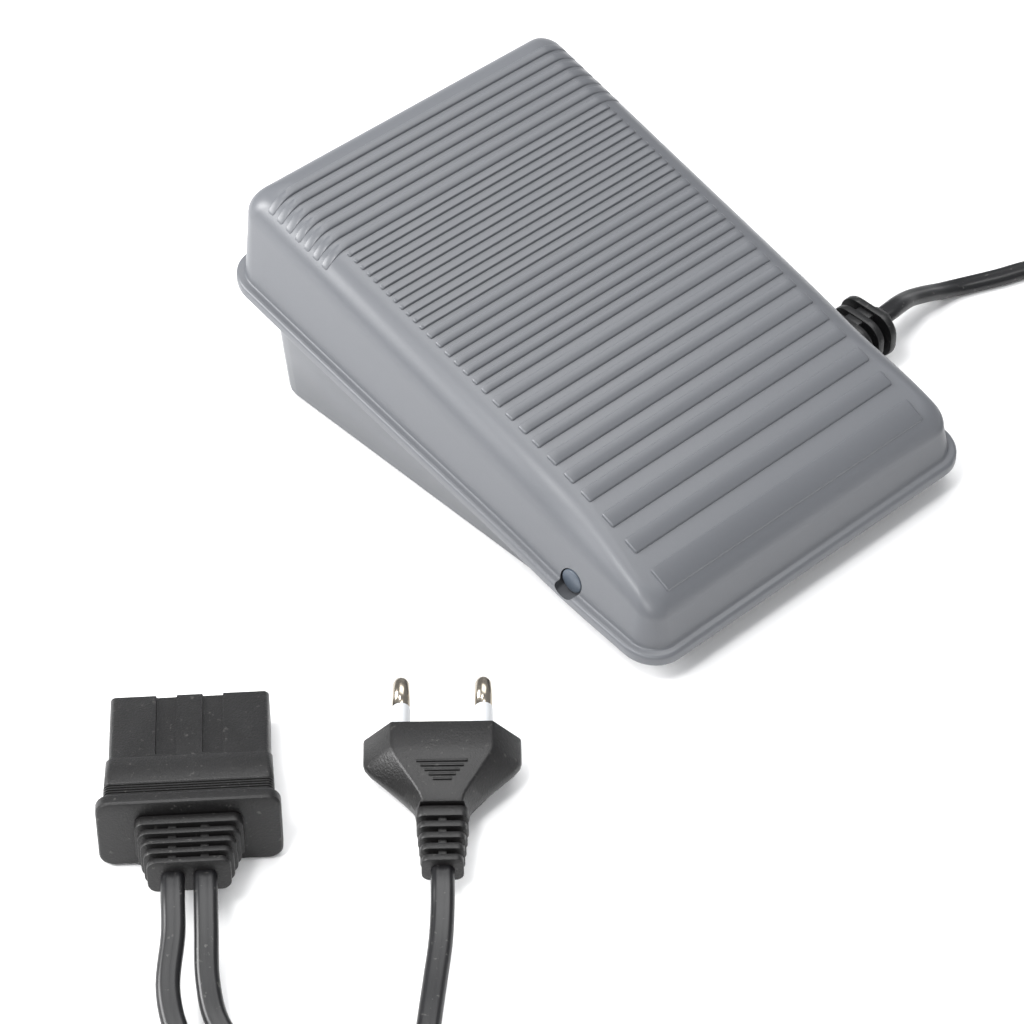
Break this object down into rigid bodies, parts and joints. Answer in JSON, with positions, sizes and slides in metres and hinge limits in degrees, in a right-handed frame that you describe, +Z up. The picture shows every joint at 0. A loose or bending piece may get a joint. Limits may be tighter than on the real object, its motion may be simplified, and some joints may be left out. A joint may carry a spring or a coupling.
{
  "type": "sewing machine pedal",
  "caption": "Foot speed control for a sewing machine: a ribbed hinged treadle over a base tray, with flat cords to a machine connector and a mains plug.",
  "frame": {"origin": "on the floor, under the middle of the pedal's outline", "axes": "+Z up, +Y towards the high toe end, +X towards the side that the cord leaves"},
  "size_m": [0.3614, 0.3014, 0.0627],
  "materials": {
    "cover_plastic": "light grey ABS, satin with a fine spark texture",
    "base_plastic": "grey ABS, satin",
    "pin_plastic": "blue-grey plastic, satin",
    "rubber": "black rubber, matte",
    "steel": "bright zinc-plated steel",
    "nickel": "nickel-plated brass, polished",
    "brass": "plain brass",
    "aluminium": "mill finish",
    "black_pvc": "black soft PVC",
    "charcoal_pvc": "charcoal PVC, fine grain",
    "plug_pvc": "charcoal PVC, fine grain",
    "cord_pvc": "black flexible PVC, satin",
    "white_plastic": "white nylon",
    "circuit_board": "tan paper phenolic board",
    "black_epoxy": "black moulding compound",
    "ferrite": "sintered ferrite",
    "copper": "enamelled copper wire",
    "yellow_film": "yellow boxed film",
    "ceramic": "off-white ceramic",
    "blue_plastic": "blue plastic",
    "green_plastic": "green plastic",
    "brown_wire": "brown PVC insulation",
    "blue_wire": "blue PVC insulation"
  },
  "bodies": {
    "base": {"base_tray": "base_plastic", "rubber_foot_1": "rubber", "rubber_foot_2": "rubber", "rubber_foot_3": "rubber", "rubber_foot_4": "rubber", "pivot_pin_left": "pin_plastic", "pivot_pin_right": "pin_plastic", "return_spring": "steel", "stop_bumper_left": "rubber", "stop_bumper_right": "rubber", "circuit_board": "circuit_board", "board_screw_1": "steel", "board_screw_2": "steel", "speed_control_housing": "black_epoxy", "heat_sink": "aluminium", "triac": "black_epoxy", "triac_screw": "steel", "triac_nut": "steel", "film_capacitor": "yellow_film", "choke_core": "ferrite", "choke_winding": "copper", "power_resistor": "ceramic", "speed_trimmer": "blue_plastic", "terminal_block": "green_plastic", "terminal_screw_1": "steel", "terminal_screw_2": "steel", "strain_relief": "black_pvc", "cord_clamp": "base_plastic", "clamp_screw_1": "steel", "clamp_screw_2": "steel", "lead_wire_brown": "brown_wire", "lead_wire_blue": "blue_wire", "connector_body": "charcoal_pvc", "socket_contact_1": "brass", "socket_contact_2": "brass", "socket_contact_3": "brass", "connector_strain_relief": "charcoal_pvc", "plug_body": "plug_pvc", "plug_strain_relief": "plug_pvc", "plug_pin_left": "nickel", "plug_pin_right": "nickel", "pin_sleeve_left": "white_plastic", "pin_sleeve_right": "white_plastic", "pedal_cord_near": "cord_pvc", "pedal_cord_coil": "cord_pvc", "pedal_cord_tie": "black_pvc", "pedal_cord_far": "cord_pvc", "mains_cord_near": "cord_pvc", "mains_cord_coil": "cord_pvc", "mains_cord_tie": "black_pvc", "mains_cord_far": "cord_pvc"},
    "treadle": {"treadle_cover": "cover_plastic"},
    "plunger": {"control_plunger": "white_plastic"}
  },
  "joints": [
    {"name": "treadle_hinge", "type": "hinge", "parent": "base", "child": "treadle", "pos_m": [0, -0.046, 0.0156], "axis": [-1, 0, 0], "range_deg": [0, 4.5], "stiffness_Nm_per_rad": 5, "springref_deg": -17.19, "deforming": ["return_spring"]},
    {"name": "plunger_slide", "type": "slide", "parent": "base", "child": "plunger", "axis": [0, 0, -1], "range_m": [0, 0.0055]}
  ],
  "couplings": [
    {"joint": "plunger_slide", "follows": "treadle_hinge", "m_per_rad": 0.066}
  ]
}
